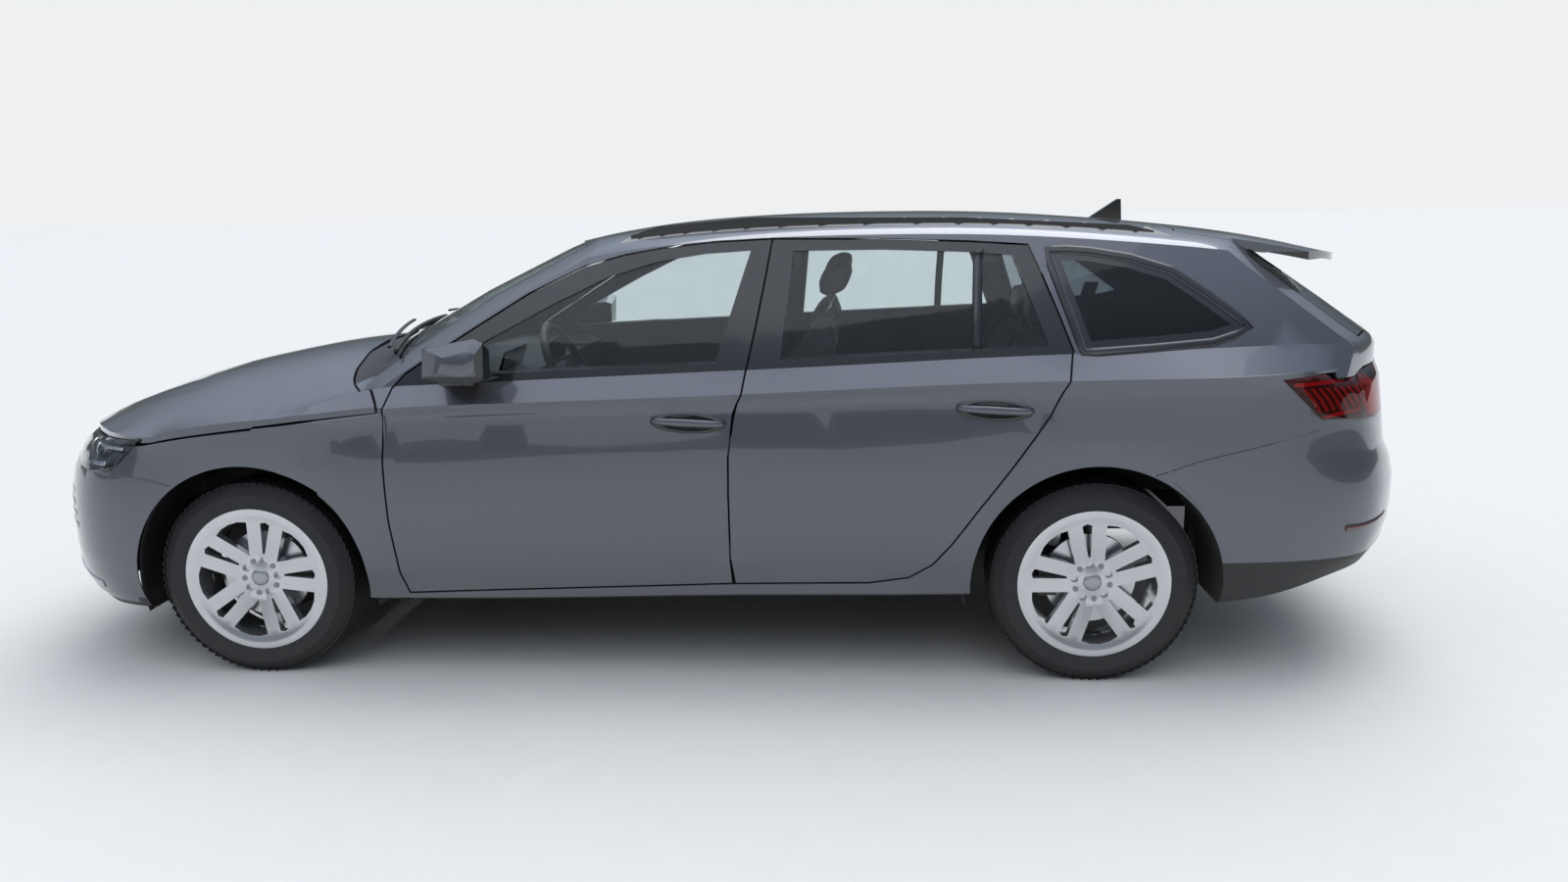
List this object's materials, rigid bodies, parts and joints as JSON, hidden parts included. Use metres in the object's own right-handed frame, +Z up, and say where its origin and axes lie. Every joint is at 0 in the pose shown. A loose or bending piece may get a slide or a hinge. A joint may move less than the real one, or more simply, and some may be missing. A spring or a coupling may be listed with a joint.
{
  "type": "station wagon",
  "caption": "Family station wagon with opening doors, hood and tailgate, steered front wheels and a furnished cabin.",
  "frame": {"origin": "on the ground below the middle of the car's length and width", "axes": "+X forward, +Y to the driver's left, +Z up"},
  "size_m": [4.689, 2.0028, 1.5003],
  "materials": {
    "paint": "graphite metallic, clear coated",
    "gloss_black": "gloss black",
    "lamp_clear": "clear lens",
    "lamp_red": "red lens",
    "clear_glass": "clear",
    "tinted_glass": "tinted",
    "bare_steel": "dull",
    "light_alloy": "satin",
    "cast_metal": "rough",
    "dark_plastic": "grained",
    "dark_leather": "smooth",
    "seat_fabric": "woven",
    "tyre": "matte"
  },
  "bodies": {
    "body": {"body_shell": "paint", "front_fenders": "paint", "front_bumper": "paint", "rear_bumper": "paint", "grille": "gloss_black", "roof_rails": "gloss_black", "antenna_fin": "gloss_black", "headlamps": "lamp_clear", "tail_lamps": "lamp_red", "windscreen": "clear_glass", "quarter_windows": "tinted_glass", "front_structure": "bare_steel", "radiator": "light_alloy", "engine_block": "cast_metal", "front_subframe": "bare_steel", "rear_axle": "bare_steel", "fuel_tank": "dark_plastic", "exhaust": "bare_steel", "dashboard": "dark_plastic", "front_seats": "seat_fabric", "rear_seat": "seat_fabric"},
    "front_door_left": {"door_front_left": "paint", "window_front_left": "clear_glass", "mirror_left": "paint"},
    "rear_door_left": {"door_rear_left": "paint", "window_rear_left": "tinted_glass"},
    "front_knuckle_left": {"knuckle_left": "cast_metal"},
    "front_wheel_left": {"tyre_front_left": "tyre", "rim_front_left": "light_alloy"},
    "rear_wheel_left": {"tyre_rear_left": "tyre", "rim_rear_left": "light_alloy"},
    "front_door_right": {"door_front_right": "paint", "window_front_right": "clear_glass", "mirror_right": "paint"},
    "rear_door_right": {"door_rear_right": "paint", "window_rear_right": "tinted_glass"},
    "front_knuckle_right": {"knuckle_right": "cast_metal"},
    "front_wheel_right": {"tyre_front_right": "tyre", "rim_front_right": "light_alloy"},
    "rear_wheel_right": {"tyre_rear_right": "tyre", "rim_rear_right": "light_alloy"},
    "bonnet": {"hood": "paint"},
    "rear_gate": {"tailgate": "paint", "tailgate_window": "tinted_glass", "tailgate_lamps": "lamp_red"},
    "steering": {"steering_wheel": "dark_leather"}
  },
  "joints": [
    {"name": "front_left_door", "type": "hinge", "parent": "body", "child": "front_door_left", "pos_m": [0.9905, 0.907, 0.6], "axis": [0, 0, -1], "range_deg": [0, 68]},
    {"name": "front_right_door", "type": "hinge", "parent": "body", "child": "front_door_right", "pos_m": [0.9905, -0.907, 0.6], "axis": [0, 0, 1], "range_deg": [0, 68]},
    {"name": "rear_left_door", "type": "hinge", "parent": "body", "child": "rear_door_left", "pos_m": [-0.0935, 0.911, 0.6], "axis": [0, 0, -1], "range_deg": [0, 68]},
    {"name": "rear_right_door", "type": "hinge", "parent": "body", "child": "rear_door_right", "pos_m": [-0.0935, -0.911, 0.6], "axis": [0, 0, 1], "range_deg": [0, 68]},
    {"name": "hood_hinge", "type": "hinge", "parent": "body", "child": "bonnet", "pos_m": [0.975, 0, 0.935], "axis": [0, -1, 0], "range_deg": [0, 50]},
    {"name": "tailgate_hinge", "type": "hinge", "parent": "body", "child": "rear_gate", "pos_m": [-1.53902, 0, 1.4269], "axis": [0, 1, 0], "range_deg": [0, 84]},
    {"name": "steer_left", "type": "hinge", "parent": "body", "child": "front_knuckle_left", "pos_m": [1.4525, 0.69045, 0.19965], "axis": [0, -0.187, 0.9824], "range_deg": [-34, 34]},
    {"name": "front_left_wheel", "type": "hinge", "parent": "front_knuckle_left", "child": "front_wheel_left", "pos_m": [1.4525, 0.7705, 0.32], "axis": [0, 1, 0], "continuous": true},
    {"name": "rear_left_wheel", "type": "hinge", "parent": "body", "child": "rear_wheel_left", "pos_m": [-1.2335, 0.7705, 0.32], "axis": [0, 1, 0], "continuous": true},
    {"name": "steer_right", "type": "hinge", "parent": "body", "child": "front_knuckle_right", "pos_m": [1.4525, -0.69045, 0.19965], "axis": [0, 0.187, 0.9824], "range_deg": [-34, 34]},
    {"name": "front_right_wheel", "type": "hinge", "parent": "front_knuckle_right", "child": "front_wheel_right", "pos_m": [1.4525, -0.7705, 0.32], "axis": [0, 1, 0], "continuous": true},
    {"name": "rear_right_wheel", "type": "hinge", "parent": "body", "child": "rear_wheel_right", "pos_m": [-1.2335, -0.7705, 0.32], "axis": [0, 1, 0], "continuous": true},
    {"name": "steering_column", "type": "hinge", "parent": "body", "child": "steering", "pos_m": [0.50703, 0.3658, 0.9219], "axis": [-0.9135, 0, 0.4067], "range_deg": [-490, 490]}
  ],
  "couplings": [
    {"joint": "steer_right", "follows": "steer_left", "ratio": 1},
    {"joint": "steering_column", "follows": "steer_left", "ratio": 14.4}
  ]
}
